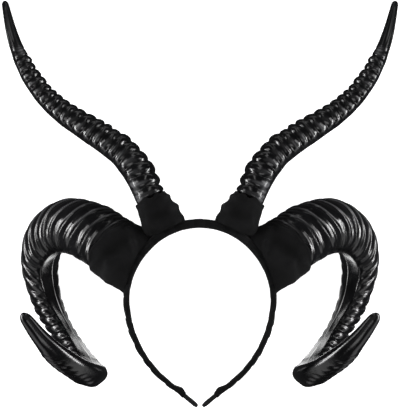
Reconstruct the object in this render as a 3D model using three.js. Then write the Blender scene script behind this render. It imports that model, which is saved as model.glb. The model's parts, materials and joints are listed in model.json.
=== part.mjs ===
// A costume headband with four horns, in millimetres.
// A hoop wound with cloth carries two upright ringed horns near its crown and two curled ram horns at
// its sides. The root of each horn stands on the band inside a cloth sleeve.
// Everything is shaped as worn, in one frame: x out to the viewer's right, y back from the face, z up
// from the middle of the crown. The whole is then laid on its back, the way it rests on a table.

import * as THREE from "three";

// Clearance between pieces that touch, and the thickness of the sleeves' cloth
const GAP = 0.3;
const SLEEVE_WALL = 1.3;

// Lift of a foot's corners off the band, whose curve bulges up to half of it between them
const FOOT_LIFT = 0.6;

// The band's centre line: half a circle over the head, a wider arc down each side, a straight end
const CROWN_RADIUS = 54.8;
const SIDE_RADIUS = 82;
const SIDE_TURN = THREE.MathUtils.degToRad(50.4);
const END_RUN = 30;
const CROWN_RUN = (CROWN_RADIUS * Math.PI) / 2;
const SIDE_RUN = SIDE_RADIUS * SIDE_TURN;
const HALF_RUN = CROWN_RUN + SIDE_RUN + END_RUN;

// The hoop's section, by the share of its half run from the crown: bare and swollen at the tips
const HOOP_ROWS = [
  { share: 0.0, thick: 1.6, wide: 9.0 },
  { share: 0.5, thick: 1.6, wide: 8.6 },
  { share: 0.934, thick: 1.6, wide: 8.0 },
  { share: 0.938, thick: 3.2, wide: 8.4 },
  { share: 0.98, thick: 3.0, wide: 7.6 },
  { share: 0.995, thick: 2.2, wide: 6.0 },
  { share: 1.0, thick: 1.0, wide: 4.0 },
];

// The wound cloth, as distances from the centre line to its outer face, inner face and each edge
const WRAP_ROWS = [
  { share: 0.0, outer: 3.4, inner: 3.4, edge: 6.0 },
  { share: 0.25, outer: 3.0, inner: 3.0, edge: 6.0 },
  { share: 0.48, outer: 2.2, inner: 2.2, edge: 5.8 },
  { share: 0.87, outer: 2.1, inner: 2.1, edge: 5.6 },
  { share: 0.912, outer: 2.1, inner: 4.0, edge: 5.7 },
  { share: 0.932, outer: 2.1, inner: 2.9, edge: 5.6 },
];
const BAND_STEPS = 42;

// Upright horn: centre line from the sleeve's edge to the tip. across is its size in the plane of
// the face, through its size from front to back. Its web is what its sleeve's cloth reaches towards
// the neighbouring sleeve, on the side of the crest or on the other. A rib's crest lies ahead of its
// middle by crestLean, as a share of half of across.
const UPRIGHT = {
  foot: { run: 24.2, long: 22, deep: 10, across: 29, through: 14 },
  web: { reach: 1.5, crestSide: -1 },
  rows: [
    { out: 37.4, up: 18.5, back: 1, across: 21.2, through: 20.0 },
    { out: 47.0, up: 38.8, back: 4, across: 21.0, through: 19.6 },
    { out: 60.5, up: 54.8, back: 9, across: 19.8, through: 18.6 },
    { out: 82.5, up: 69.8, back: 16, across: 18.0, through: 17.0 },
    { out: 102.8, up: 83.0, back: 22, across: 15.4, through: 14.8 },
    { out: 119.0, up: 97.5, back: 28, across: 13.0, through: 12.6 },
    { out: 133.0, up: 117.5, back: 34, across: 11.0, through: 10.6 },
    { out: 143.0, up: 142.5, back: 41, across: 8.4, through: 8.2 },
    { out: 150.0, up: 171.0, back: 48, across: 4.6, through: 4.6 },
  ],
  ribs: { count: 20, first: 8.8, last: 6.4, height: 2.0, crestLean: 0.25 },
  sides: 12,
  tip: { steps: 6, round: 3 },
};

// Ram horn: centre line from the sleeve's edge round the curl to the tip. across is its size towards
// the heart of the curl, through its size along the flat inner face, flat how far that face lies
// from the centre line as a share of half of across, facing how far back the heart lies that the
// face looks at, and lean how far a rib's front lies ahead of its middle, as crestLean does.
const RAM = {
  foot: { run: 61.4, long: 45, deep: 10, across: 48, through: 14, flat: 0.9, facing: 0, lean: 0.4 },
  web: { reach: 1.4, crestSide: 1 },
  heart: { out: 88, up: -62 },
  rows: [
    { out: 66.0, up: -18.4, back: 13, across: 46, through: 40, flat: 0.9, facing: 18, lean: 0.4 },
    { out: 85.0, up: -6.8, back: 29, across: 45, through: 39, flat: 0.88, facing: 36, lean: 0.4 },
    { out: 102.0, up: -4.0, back: 44, across: 42, through: 37, flat: 0.84, facing: 48, lean: 0.4 },
    { out: 115.4, up: -11.6, back: 57, across: 37, through: 33, flat: 0.74, facing: 52, lean: 0.4 },
    { out: 122.6, up: -27.0, back: 67, across: 32, through: 29.5, flat: 0.62, facing: 52, lean: 0.4 },
    { out: 121.8, up: -46.0, back: 73, across: 27.5, through: 26, flat: 0.55, facing: 52, lean: 0.4 },
    { out: 115.0, up: -67.0, back: 71, across: 23, through: 22.5, flat: 0.52, facing: 54, lean: 0.4 },
    { out: 101.5, up: -88.0, back: 57, across: 19, through: 19, flat: 0.5, facing: 56, lean: 0.4 },
    { out: 86.5, up: -105.5, back: 31, across: 17, through: 18.5, flat: 0.5, facing: 52, lean: 0.6 },
    { out: 79.0, up: -113.2, back: 2, across: 16, through: 19, flat: 0.5, facing: 46, lean: 1.1 },
    { out: 91.5, up: -106.0, back: -24, across: 14, through: 17.5, flat: 0.5, facing: 46, lean: 1.2 },
    { out: 111.0, up: -90.0, back: -41, across: 12.2, through: 15, flat: 0.5, facing: 50, lean: 0.8 },
    { out: 130.0, up: -65.0, back: -50, across: 6, through: 8, flat: 0.5, facing: 52, lean: 0.4 },
  ],
  ribs: { count: 30, first: 10.8, last: 6.6, height: 1.5, crestLean: -0.5 },
  arcSteps: 5,
  tip: { steps: 7, round: 6 },
};

// One rib from root to tip: it rises steeply and falls away slowly
const RIB_STEPS = [
  { at: 0.0, rise: 0.0 },
  { at: 0.25, rise: 1.0 },
  { at: 0.65, rise: 0.75 },
];

// How many ribs take up their lean at the root, how many lose their height towards the tip, and how
// small a rounded tip's last ring gets
const LEANING_RIBS = 5;
const FADING_RIBS = 4;
const NOSE_SHARE = 0.25;

// A sleeve from the band to its edge on the horn: slack is how far its cloth stands off all round,
// web how much of its reach towards the neighbouring sleeve it has
const SLEEVE_ROWS = [
  { share: 0.0, slack: 0.0, web: 0.0 },
  { share: 0.25, slack: 0.1, web: 0.35 },
  { share: 0.48, slack: 0.8, web: 1.0 },
  { share: 0.74, slack: 0.4, web: 0.6 },
  { share: 1.0, slack: 0.0, web: 0.0 },
];

// The run where the cloth of two neighbouring sleeves meets
const WEB_RUN = 37;

// Corner cut of the band's strips, as a share of their thinner side and at most in all
const CORNER_SHARE = 0.4;
const CORNER_MOST = 1;

// Fineness of the centre lines, of their tangents, and of the search for the lean at rest
const LINE_SAMPLES = 600;
const TANGENT_STEP = 1e-3;
const LEAN_STEPS = 40;

const HORN = new THREE.MeshStandardMaterial({ color: 0x0b0b0c, roughness: 0.25, metalness: 0 });
const CLOTH = new THREE.MeshStandardMaterial({ color: 0x0d0d0e, roughness: 0.95, metalness: 0 });
const HOOP = new THREE.MeshStandardMaterial({ color: 0x111112, roughness: 0.6, metalness: 0 });

// A point of the right half's own frame: out, back, up
function place(row) {
  return new THREE.Vector3(row.out, row.back, row.up);
}

// A table read between its rows at an even pace, each column by a Catmull-Rom blend
function blend(rows, share) {
  const last = rows.length - 1;
  const step = Math.min(Math.floor(share * last), last - 1);
  const u = share * last - step;
  const near = [-1, 0, 1, 2].map((k) => rows[THREE.MathUtils.clamp(step + k, 0, last)]);
  const row = {};
  for (const key of Object.keys(rows[last])) {
    const [a, b, c, d] = near.map((r) => r[key]);
    const bend = (2 * a - 5 * b + 4 * c - d) * u + (3 * b - a - 3 * c + d) * u * u;
    row[key] = b + 0.5 * u * (c - a + bend);
  }
  return row;
}

// A table read straight between its rows at a share of the band's half run
function lookUp(rows, share) {
  const next = Math.max(1, rows.findIndex((row) => row.share >= share));
  const [a, b] = [rows[next - 1], rows[next]];
  const u = (share - a.share) / (b.share - a.share);
  const row = {};
  for (const key of Object.keys(a)) {
    row[key] = THREE.MathUtils.lerp(a[key], b[key], u);
  }
  return row;
}

// The band's centre line at a run from the crown, negative to the left
function bandAt(run) {
  const side = run < 0 ? -1 : 1;
  const gone = Math.abs(run);
  const crown = Math.min(gone, CROWN_RUN) / CROWN_RADIUS;
  const turn = THREE.MathUtils.clamp(gone - CROWN_RUN, 0, SIDE_RUN) / SIDE_RADIUS;
  const straight = Math.max(gone - CROWN_RUN - SIDE_RUN, 0);
  const heading = crown + turn;
  const drop = CROWN_RADIUS * (1 - Math.cos(crown)) + SIDE_RADIUS * Math.sin(turn);
  const reach = CROWN_RADIUS * Math.sin(crown) - SIDE_RADIUS * (1 - Math.cos(turn));
  const out = reach + straight * Math.cos(heading);
  const down = drop + straight * Math.sin(heading);
  return {
    point: new THREE.Vector3(side * out, 0, -down),
    outward: new THREE.Vector3(side * Math.sin(heading), 0, Math.cos(heading)),
  };
}

// Triangles between rings of equal size that run round anticlockwise seen from the last ring
function skin(count, size, turned, base = 0) {
  const faces = [];
  for (let k = 0; k < count - 1; k += 1) {
    for (let i = 0; i < size; i += 1) {
      const [a, b] = [base + k * size + i, base + k * size + ((i + 1) % size)];
      const [c, d] = [b + size, a + size];
      faces.push(...(turned ? [[a, c, b], [a, d, c]] : [[a, b, c], [a, c, d]]));
    }
  }
  return faces;
}

// Triangles that close one ring by zipping its two halves together across the flank
function zip(first, size, facingBack) {
  const faces = [];
  for (let i = 0; i < size / 2; i += 1) {
    const [a, b] = [i, i + 1];
    const [c, d] = [size - i - 1, (size - i) % size];
    for (const face of [[a, b, c], [a, c, d]]) {
      if (new Set(face).size === 3) {
        faces.push((facingBack ? face.reverse() : face).map((v) => first + v));
      }
    }
  }
  return faces;
}

// Triangles between two rings that lie in one end of a tube
function rim(outer, inner, size, facingBack) {
  const faces = [];
  for (let i = 0; i < size; i += 1) {
    const j = (i + 1) % size;
    const quad = [outer + i, outer + j, inner + j, inner + i];
    const [a, b, c, d] = facingBack ? quad.reverse() : quad;
    faces.push([a, b, c], [a, c, d]);
  }
  return faces;
}

// Mesh data from points and triangles, mirrored to the left where side is -1
function geometry(points, faces, side = 1) {
  const shape = new THREE.BufferGeometry();
  const flat = points.flatMap((p) => [side * p.x, p.y, p.z]);
  const index = faces.flatMap(([a, b, c]) => (side < 0 ? [a, c, b] : [a, b, c]));
  shape.setAttribute("position", new THREE.Float32BufferAttribute(flat, 3));
  shape.setIndex(index);
  shape.computeVertexNormals();
  return shape;
}

// A solid through rings, closed at both ends
function loft(rings, side) {
  const size = rings[0].length;
  const faces = [
    ...skin(rings.length, size, false),
    ...zip(0, size, true),
    ...zip((rings.length - 1) * size, size, false),
  ];
  return geometry(rings.flat(), faces, side);
}

// A tube with a wall between outer and inner rings, open at both ends
function tube(outer, inner, side) {
  const size = outer[0].length;
  const base = outer.length * size;
  const last = (outer.length - 1) * size;
  const faces = [
    ...skin(outer.length, size, false),
    ...skin(inner.length, size, true, base),
    ...rim(0, base, size, true),
    ...rim(last, base + last, size, false),
  ];
  return geometry([...outer.flat(), ...inner.flat()], faces, side);
}

// A strip's section across the band: a box with its corners cut, seen along the run
function bandRing(run, outer, inner, edge) {
  const { point, outward } = bandAt(run);
  const cut = Math.min(CORNER_MOST, CORNER_SHARE * Math.min(outer, inner));
  const corners = [
    [outer, edge - cut],
    [outer, cut - edge],
    [outer - cut, -edge],
    [cut - inner, -edge],
    [-inner, cut - edge],
    [-inner, edge - cut],
    [cut - inner, edge],
    [outer - cut, edge],
  ];
  return corners.map(([proud, back]) => {
    const p = point.clone().addScaledVector(outward, proud);
    return p.setY(back);
  });
}

// Runs from one end to the other that keep the table's own rows and leave the crown a flat facet
function bandRuns(rows) {
  const end = rows[rows.length - 1].share * HALF_RUN;
  const even = Array.from({ length: BAND_STEPS }, (_, k) => ((2 * k + 1) / BAND_STEPS - 1) * end);
  const marks = rows.slice(1).map((row) => row.share * HALF_RUN);
  const apart = end / BAND_STEPS;
  const kept = even.filter((run) => marks.every((mark) => Math.abs(Math.abs(run) - mark) > apart));
  return [...kept, ...marks, ...marks.map((run) => -run)].sort((a, b) => a - b);
}

function bandHoop() {
  const rings = bandRuns(HOOP_ROWS).map((run) => {
    const { thick, wide } = lookUp(HOOP_ROWS, Math.abs(run) / HALF_RUN);
    return bandRing(run, thick / 2, thick / 2, wide / 2);
  });
  return loft(rings);
}

function bandWrap() {
  const runs = bandRuns(WRAP_ROWS);
  const outer = runs.map((run) => {
    const row = lookUp(WRAP_ROWS, Math.abs(run) / HALF_RUN);
    return bandRing(run, row.outer, row.inner, row.edge);
  });
  const inner = runs.map((run) => {
    const { thick, wide } = lookUp(HOOP_ROWS, Math.abs(run) / HALF_RUN);
    return bandRing(run, thick / 2 + GAP, thick / 2 + GAP, wide / 2 + GAP);
  });
  return tube(outer, inner);
}

// A point of a foot, lifted off the outer face of the wound cloth
function seatAt(run, back) {
  const { point, outward } = bandAt(run);
  const { outer } = lookUp(WRAP_ROWS, run / HALF_RUN);
  return point.addScaledVector(outward, outer + FOOT_LIFT).setY(back);
}

// A horn's centre line from its seat on the band, read by the distance along it
function centreLine(spec) {
  const seat = seatAt(spec.foot.run, 0);
  const rows = [{ ...spec.foot, out: seat.x, up: seat.z, back: seat.y }, ...spec.rows];
  const shares = Array.from({ length: LINE_SAMPLES + 1 }, (_, k) => k / LINE_SAMPLES);
  const points = shares.map((share) => place(blend(rows, share)));
  const gone = [0];
  for (let k = 1; k <= LINE_SAMPLES; k += 1) {
    gone.push(gone[k - 1] + points[k].distanceTo(points[k - 1]));
  }
  const shareAt = (distance) => {
    const k = THREE.MathUtils.clamp(gone.findIndex((d) => d >= distance), 1, LINE_SAMPLES);
    return (k - 1 + (distance - gone[k - 1]) / (gone[k] - gone[k - 1])) / LINE_SAMPLES;
  };
  return {
    length: gone[LINE_SAMPLES],
    edge: gone[Math.round(LINE_SAMPLES / (rows.length - 1))],
    at(distance) {
      const share = THREE.MathUtils.clamp(shareAt(distance), 0, 1);
      const row = blend(rows, share);
      const ahead = place(blend(rows, Math.min(share + TANGENT_STEP, 1)));
      const behind = place(blend(rows, Math.max(share - TANGENT_STEP, 0)));
      const tangent = ahead.sub(behind).normalize();
      return { row, point: place(row), tangent };
    },
  };
}

// The side of a horn that carries its ribs: the upper edge, or the outside of the curl
function uprightCrest(tangent) {
  return tangent.clone().cross(new THREE.Vector3(0, 1, 0)).normalize();
}

function ramCrest(tangent, row) {
  const away = place(row).sub(place({ ...RAM.heart, back: row.facing }));
  return away.addScaledVector(tangent, -away.dot(tangent)).normalize();
}

// Points round an oval section, with the share of a rib's height that each one takes
function ovalSection() {
  return Array.from({ length: UPRIGHT.sides }, (_, k) => {
    const angle = (2 * Math.PI * k) / UPRIGHT.sides;
    const crest = Math.cos(angle);
    return { crest, flank: Math.sin(angle), rib: (1 + crest) / 2 };
  });
}

// Points round a section with a flat inner face, whose ribs die out towards the face's edges
function flatBackedSection(flat) {
  const corner = Math.acos(-flat);
  const arc = Array.from({ length: RAM.arcSteps + 1 }, (_, k) => {
    const angle = (corner * k) / RAM.arcSteps;
    const rib = 1 - (k / RAM.arcSteps) ** 4;
    return { crest: Math.cos(angle), flank: Math.sin(angle), rib };
  });
  const face = { crest: -flat, flank: Math.sin(corner) / 3, rib: 0 };
  const half = [...arc.slice(1), face];
  const mirrored = half.map((p) => ({ ...p, flank: -p.flank })).reverse();
  return [arc[0], ...half, ...mirrored];
}

function upright() {
  return { spec: UPRIGHT, line: centreLine(UPRIGHT), crestOf: uprightCrest, sectionOf: ovalSection };
}

function ram() {
  return { spec: RAM, line: centreLine(RAM), crestOf: ramCrest, sectionOf: flatBackedSection };
}

// A ring of the horn at a distance along it, swollen by a clearance and by a rib's rise
function hornRing(horn, distance, swell = 0, rise = 0) {
  const { row, point, tangent } = horn.line.at(distance);
  const crest = horn.crestOf(tangent, row);
  const flank = tangent.clone().cross(crest);
  const { round } = horn.spec.tip;
  const past = Math.max(0, (distance + round - horn.line.length) / round);
  const nose = Math.sqrt(Math.max(NOSE_SHARE ** 2, 1 - past * past));
  const half = (row.across / 2) * nose;
  const high = half + swell;
  const wide = (row.through / 2) * nose + swell;
  const flat = ((row.flat ?? 1) * half + swell) / high;
  return horn.sectionOf(flat).map((p) => {
    const proud = 1 + (rise * p.rib) / (row.across / 2);
    const p3 = point.clone().addScaledVector(crest, high * p.crest * proud);
    return p3.addScaledVector(flank, wide * p.flank * proud);
  });
}

// A ring of the root, which spreads from the horn's own section to a foot that follows the band.
// A sleeve's ring also reaches along the band towards its neighbour.
function rootRing(horn, share, swell = 0, web = 0) {
  const { run, long, deep, flat } = horn.spec.foot;
  const { reach, crestSide } = horn.spec.web;
  const ease = 1 - (1 - share) ** 3;
  const above = hornRing(horn, share * horn.line.edge, swell);
  const { outward } = bandAt(WEB_RUN);
  const along = new THREE.Vector3(-outward.z, 0, outward.x).multiplyScalar(crestSide * web * reach);
  return horn.sectionOf(flat ?? 1).map((p, i) => {
    const foot = seatAt(run - (long / 2 + swell) * p.crest, -(deep / 2 + swell) * p.flank);
    return foot.lerp(above[i], ease).addScaledVector(along, Math.max(0, crestSide * p.crest) ** 2);
  });
}

// A ring that leans: each of its points is taken from the horn as far ahead as the lean puts it
function leaningRing(horn, { distance, rise, lean }) {
  const { row } = horn.line.at(distance);
  const { crestLean } = horn.spec.ribs;
  return horn.sectionOf(row.flat ?? 1).map((p, i) => {
    const ahead = crestLean * p.crest + (row.lean ?? 0) * p.flank;
    return hornRing(horn, distance + (lean * ahead * row.across) / 2, 0, rise)[i];
  });
}

// Distances along the horn, rib heights and shares of the lean from the sleeve's edge to the tip
function ribStations(horn) {
  const { count, first, last, height } = horn.spec.ribs;
  const stations = [];
  for (let k = 0; k < count; k += 1) {
    for (const step of RIB_STEPS) {
      const n = k + step.at;
      const distance = horn.line.edge + first * n + ((last - first) * n * n) / (2 * count);
      const fade = Math.min(1, (count - k) / FADING_RIBS);
      const lean = Math.min(1, n / LEANING_RIBS);
      stations.push({ distance, rise: step.rise * height * fade, lean });
    }
  }
  const smooth = horn.line.edge + (count * (first + last)) / 2;
  const { steps } = horn.spec.tip;
  for (let k = 0; k <= steps; k += 1) {
    const share = 1 - (1 - k / steps) ** 2;
    const distance = THREE.MathUtils.lerp(smooth, horn.line.length, share);
    stations.push({ distance, rise: 0, lean: 1 - k / steps });
  }
  return stations;
}

function hornSolid(horn, side) {
  const root = SLEEVE_ROWS.slice(0, -1).map(({ share }) => rootRing(horn, share));
  const body = ribStations(horn).map((station) => leaningRing(horn, station));
  return loft([...root, ...body], side);
}

function sleeve(horn, side) {
  const rings = (swell) => {
    return SLEEVE_ROWS.map(({ share, slack, web }) => rootRing(horn, share, slack + swell, web));
  };
  return tube(rings(GAP + SLEEVE_WALL), rings(GAP), side);
}

function named(name, shape, material) {
  const mesh = new THREE.Mesh(shape, material);
  mesh.name = name;
  return mesh;
}

// The headband as worn
function worn() {
  const group = new THREE.Group();
  group.add(named("band_hoop", bandHoop(), HOOP));
  group.add(named("band_wrap", bandWrap(), CLOTH));
  for (const [label, side] of [["left", -1], ["right", 1]]) {
    for (const [kind, horn] of [["upright", upright()], ["ram", ram()]]) {
      group.add(named(`${kind}_horn_${label}`, hornSolid(horn, side), HORN));
      group.add(named(`${kind}_sleeve_${label}`, sleeve(horn, side), CLOTH));
    }
  }
  return group;
}

// The lowest point of the pieces whose names start alike, once the group is turned
function lowest(group, start) {
  group.updateMatrixWorld(true);
  const box = new THREE.Box3();
  for (const mesh of group.children.filter((child) => child.name.startsWith(start))) {
    box.expandByObject(mesh, true);
  }
  return box.min.z;
}

// Lays the headband on its back, leaning until the ram horns and the upright tips touch one plane
function laidDown(group) {
  let [low, high] = [0, Math.PI / 4];
  for (let k = 0; k < LEAN_STEPS; k += 1) {
    const lean = (low + high) / 2;
    group.rotation.x = -Math.PI / 2 - lean;
    if (lowest(group, "ram_horn") < lowest(group, "upright_horn")) {
      low = lean;
    } else {
      high = lean;
    }
  }
  const box = new THREE.Box3().setFromObject(group, true);
  group.position.set(0, -(box.min.y + box.max.y) / 2, -box.min.z);
  return group;
}

const headband = new THREE.Group();
headband.add(laidDown(worn()));

export default headband;
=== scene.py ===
"""A costume headband with four horns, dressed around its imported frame.

A plastic hoop wound with ribbon carries two upright ringed horns near its crown and two curled ram
horns at its sides, each with its root in a cloth sleeve. The shapes are worked out in millimetres as
worn, x to the viewer's right, y back from the face, z up from the middle of the crown, and are then
turned into the frame in which the headband lies on its back.
"""

import json
from dataclasses import dataclass

import bpy
import numpy as np
from bpy.props import FloatProperty, FloatVectorProperty, IntProperty, PointerProperty
from mathutils import Matrix


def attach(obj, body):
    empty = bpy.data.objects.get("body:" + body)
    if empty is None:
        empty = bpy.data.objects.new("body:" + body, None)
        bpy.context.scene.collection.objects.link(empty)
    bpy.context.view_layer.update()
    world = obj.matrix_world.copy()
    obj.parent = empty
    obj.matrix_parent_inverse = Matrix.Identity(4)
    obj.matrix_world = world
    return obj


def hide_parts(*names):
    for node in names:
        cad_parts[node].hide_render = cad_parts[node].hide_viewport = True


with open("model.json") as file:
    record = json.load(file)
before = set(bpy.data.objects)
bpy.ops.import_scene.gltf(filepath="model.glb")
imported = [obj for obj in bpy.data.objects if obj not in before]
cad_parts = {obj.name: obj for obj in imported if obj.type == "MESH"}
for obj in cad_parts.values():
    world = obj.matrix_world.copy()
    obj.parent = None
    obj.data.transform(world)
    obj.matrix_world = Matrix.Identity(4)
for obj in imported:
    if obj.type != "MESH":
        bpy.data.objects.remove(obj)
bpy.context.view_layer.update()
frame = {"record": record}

bl_info = {
    "name": "Horn Headband",
    "version": (1, 0, 0),
    "blender": (4, 5, 0),
    "location": "3D View > Sidebar > Headband",
    "description": "Builds a costume headband with ringed horns, its cloth and its studio",
    "category": "Add Mesh",
}

BODY = "root"
MM = 0.001
SIDES = {"left": -1.0, "right": 1.0}

# The worn frame, from the flat seat under the crown and its distance below the band's centre line
SEAT = next(m for m in frame["record"]["mounts"] if m["name"] == "head_seat")
SEAT_DROP = 3.514
WORN_UP = -np.array(SEAT["axis"])
WORN_RIGHT = np.array([1.0, 0.0, 0.0])
WORN_BACK = np.cross(WORN_UP, WORN_RIGHT)
WORN_ORIGIN = np.array(SEAT["pos_m"]) + WORN_UP * SEAT_DROP * MM

# The band's centre line: half a circle over the head, a wider arc down each side, a straight end
CROWN_RADIUS = 54.8
SIDE_RADIUS = 82.0
SIDE_TURN = np.radians(50.4)
END_RUN = 30.0
CROWN_RUN = CROWN_RADIUS * np.pi / 2
SIDE_RUN = SIDE_RADIUS * SIDE_TURN
HALF_RUN = CROWN_RUN + SIDE_RUN + END_RUN

# Hoop sections by the share of the half run: thickness and width
HOOP_ROWS = np.array([
    [0.000, 1.6, 9.0],
    [0.500, 1.6, 8.6],
    [0.912, 1.6, 8.0],
    [0.924, 3.4, 8.6],
    [0.984, 3.5, 8.2],
    [0.995, 2.9, 6.8],
    [1.000, 1.7, 4.0],
])

# Wound ribbon by the share of the half run: distance of its outer face, inner face and each edge
WRAP_ROWS = np.array([
    [0.000, 3.4, 3.4, 5.9],
    [0.250, 2.8, 3.7, 5.9],
    [0.520, 2.4, 1.6, 5.6],
    [0.870, 2.2, 1.3, 5.4],
    [0.908, 1.9, 3.5, 5.6],
    [0.932, 2.2, 2.3, 5.2],
])

# Powers of the hoop's and the ribbon's rounded sections, the ribbon's clearance over the hoop, half
# girths for their own coordinates, and how strongly the hoop's rows crowd towards its tips
HOOP_POWER = 3.0
RIBBON_POWER = 3.2
LINING_GAP = 0.2
HOOP_GIRTH = 3.5
RIBBON_GIRTH = 5.0
TIP_CROWDING = 1.8

# Turns of the ribbon: drift along the run and wave round the section, in turns with a rate each, the
# share of a turn over which a lap falls, the swell of each turn, and the inner face's share of a lap
RIBBON_SEED = 11
RIBBON_DRIFT = (0.18, 0.23)
RIBBON_WAVE = (0.06, 2)
LAP_FALL = 0.1
LAP_SWELL = 0.35
INNER_LAP = 0.5

# The laps lie flatter over the crown and close to the ends: what is left of them at the crown, and the
# shares of the half run over which they loosen and end
CROWN_LAP = 0.25
LOOSE_FROM = (0.3, 0.6)
LOOSE_TO = (0.84, 0.92)

# Height and pitch of the ribbon's dents, and its painted shade and light: how pale a turn is at the foot
# of the last turn's step, how much paler it is painted towards its own raised edge, and the even level
# inside
RIBBON_DENTS = (0.10, 16.0)
RIBBON_PAINTED_LIGHT = (0.15, 0.75)
LINING_PAINTED_LEVEL = 0.4

# Columns of a horn's table of sections. back is behind the band's plane, across towards the crest,
# through from front to back, flat the inner face's distance as a share of half of across, facing how
# far back the heart of the curl lies that the face looks at, and lean how far a ring's front lies
# ahead of its middle, as a share of half of across.
OUT, BACK, UP, ACROSS, THROUGH, FLAT, FACING, LEAN = range(8)
PLACE = [OUT, BACK, UP]

# The last three columns of a plain round section, how many samples measure a centre line, the step of
# the shares that gives its direction, and the least value under a root or a fraction
PLAIN_ROUND = (1.0, 0.0, 0.0)
LINE_SAMPLES = 3000
TANGENT_STEP = 1e-3
TINY = 1e-6

# Soft noise: how many waves it adds up, and random limits of their pitch, as a share, and of their lobes
# round a piece
WAVES = 9
WAVE_PITCHES = (0.7, 1.8)
WAVE_LOBES = (-5, 6)


@dataclass
class Ribs:
    """Rings along a horn: their count, spacing and height at the first and the last, where in a ring
    its peak lies, the powers of its rise and fall, the bead on its lip, how many fade at the tip, and
    how far the crest lies ahead, as lean does."""

    count: int
    first: float
    last: float
    low: float
    high: float
    peak: float
    rise: float
    fall: float
    lip: float
    fading: int
    crest_lean: float


@dataclass
class Horn:
    """One kind of horn, as its right-hand one.

    run is where its root sits along the band, and long and deep are the root's size along and across
    the band. foot is the table's first row without its place, and rows are the others. nose is the
    length of the rounded tip. The sleeve reaches towards its neighbour by web, on the crest's side
    where crest_side is 1 and on the other side where it is -1, and its edge dips by the share dip of
    its length. heart is the middle of the curl, out and up, where there is a curl.
    """

    run: float
    long: float
    deep: float
    foot: list
    rows: list
    ribs: Ribs
    nose: float
    web: float
    dip: float
    crest_side: float
    heart: tuple | None


UPRIGHT = Horn(
    run=24.2,
    long=22.0,
    deep=10.0,
    foot=[29.0, 14.0, *PLAIN_ROUND],
    rows=[
        [*row, *PLAIN_ROUND]
        for row in (
            (37.4, 1, 18.5, 21.2, 20.0),
            (47.0, 4, 38.8, 22.4, 20.4),
            (60.5, 9, 54.8, 21.4, 19.6),
            (82.5, 16, 69.8, 19.4, 18.0),
            (102.8, 22, 83.0, 17.0, 15.8),
            (119.0, 28, 97.5, 14.6, 13.6),
            (133.0, 34, 117.5, 12.4, 11.6),
            (143.4, 41, 142.5, 9.0, 8.6),
            (150.6, 48, 171.0, 4.8, 4.8),
        )
    ],
    ribs=Ribs(
        count=22,
        first=8.8,
        last=6.4,
        low=2.0,
        high=1.4,
        peak=0.42,
        rise=2.2,
        fall=2.2,
        lip=0.0,
        fading=3,
        crest_lean=-0.05,
    ),
    nose=3.0,
    web=3.0,
    dip=0.0,
    crest_side=-1.0,
    heart=None,
)

RAM = Horn(
    run=61.4,
    long=45.0,
    deep=10.0,
    foot=[48.0, 14.0, 0.9, 0.0, 0.4],
    rows=[
        [66.0, 13, -18.4, 46.0, 40.0, 0.90, 18.0, 0.4],
        [85.0, 29, -6.8, 45.0, 39.0, 0.88, 36.0, 0.4],
        [102.0, 44, -4.0, 42.0, 37.0, 0.84, 48.0, 0.4],
        [115.4, 57, -11.6, 37.0, 33.0, 0.74, 52.0, 0.4],
        [122.6, 67, -27.0, 32.0, 29.5, 0.62, 52.0, 0.4],
        [121.8, 73, -46.0, 27.5, 26.0, 0.55, 52.0, 0.4],
        [115.0, 71, -67.0, 23.0, 22.5, 0.52, 54.0, 0.4],
        [101.5, 57, -88.0, 19.0, 19.0, 0.50, 56.0, 0.4],
        [86.5, 31, -105.5, 17.0, 18.5, 0.50, 52.0, 0.6],
        [79.0, 2, -113.2, 16.0, 19.0, 0.50, 46.0, 1.1],
        [91.5, -24, -106.0, 14.0, 17.5, 0.50, 46.0, 1.2],
        [111.0, -41, -90.0, 12.2, 15.0, 0.50, 50.0, 0.8],
        [130.0, -50, -65.0, 6.0, 8.0, 0.50, 52.0, 0.4],
    ],
    ribs=Ribs(
        count=35,
        first=10.8,
        last=5.9,
        low=1.6,
        high=1.7,
        peak=0.42,
        rise=2.2,
        fall=2.0,
        lip=0.2,
        fading=3,
        crest_lean=-0.5,
    ),
    nose=6.0,
    web=2.4,
    dip=0.12,
    crest_side=1.0,
    heart=(88.0, -62.0),
)

# Corners of the ram horn's flat face: how sharp the front and the back one are, over which shares of the
# flank one passes into the other, how far the face is hollowed, and the shares of the length between
# which the back corner turns as keen as the front one
FRONT_CORNER = 30.0
BACK_CORNER = 4.0
CORNER_PASSAGE = (-0.5, 0.5)
FACE_HOLLOW = 0.04
KEEN_FROM = (0.66, 0.76)

# Limits of a section: the least share of down at which the face counts, the farthest that it then lies,
# the share from which a section is a plain round one, and the least width of the face, squared
LEAST_DOWN = 0.02
FACE_LIMIT = 4.0
ROUND_FROM = 0.999
LEAST_FACE = 1e-4

# Lines of the rings: how far they wander, with the lobes round the horn and the phase that a ring adds,
# how many rings take up their lean at the root, and the ring numbers over which the first one rises
RING_WANDER = ((0.10, 1, 0.9), (0.05, 3, 1.7))
LEANING_RINGS = 5
FIRST_RING = (-0.2, 0.3)

# Random limits of a ring's size and of its fine groove's depth and place, and the groove's width
RING_SIZES = (0.75, 1.2)
GROOVE_DEPTHS = (0.0, 0.16)
GROOVE_PLACES = (0.42, 0.62)
GROOVE_WIDTH = 0.05

# Fine lines along a ring: how many, their height as a share of the ring's, how they drift from ring to
# ring and wave round the horn, and what is left of them on an upright horn. On a ram horn a share of
# them is lost over some ring numbers.
LINES_PER_RING = 3.0
LINE_SHARE = 0.045
LINE_DRIFT = (0.6, 2.3)
LINE_WAVE = (0.1, 2)
UPRIGHT_LINES = 0.3
LINES_LOST = 0.8
LINED_RINGS = (7.0, 11.0)

# Upright horn: how much higher its rings are on the crest, and the turns over which they end at the
# lower edge
CREST_SHARE = 0.1
LOWER_EDGE = (115.0, 160.0)

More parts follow.
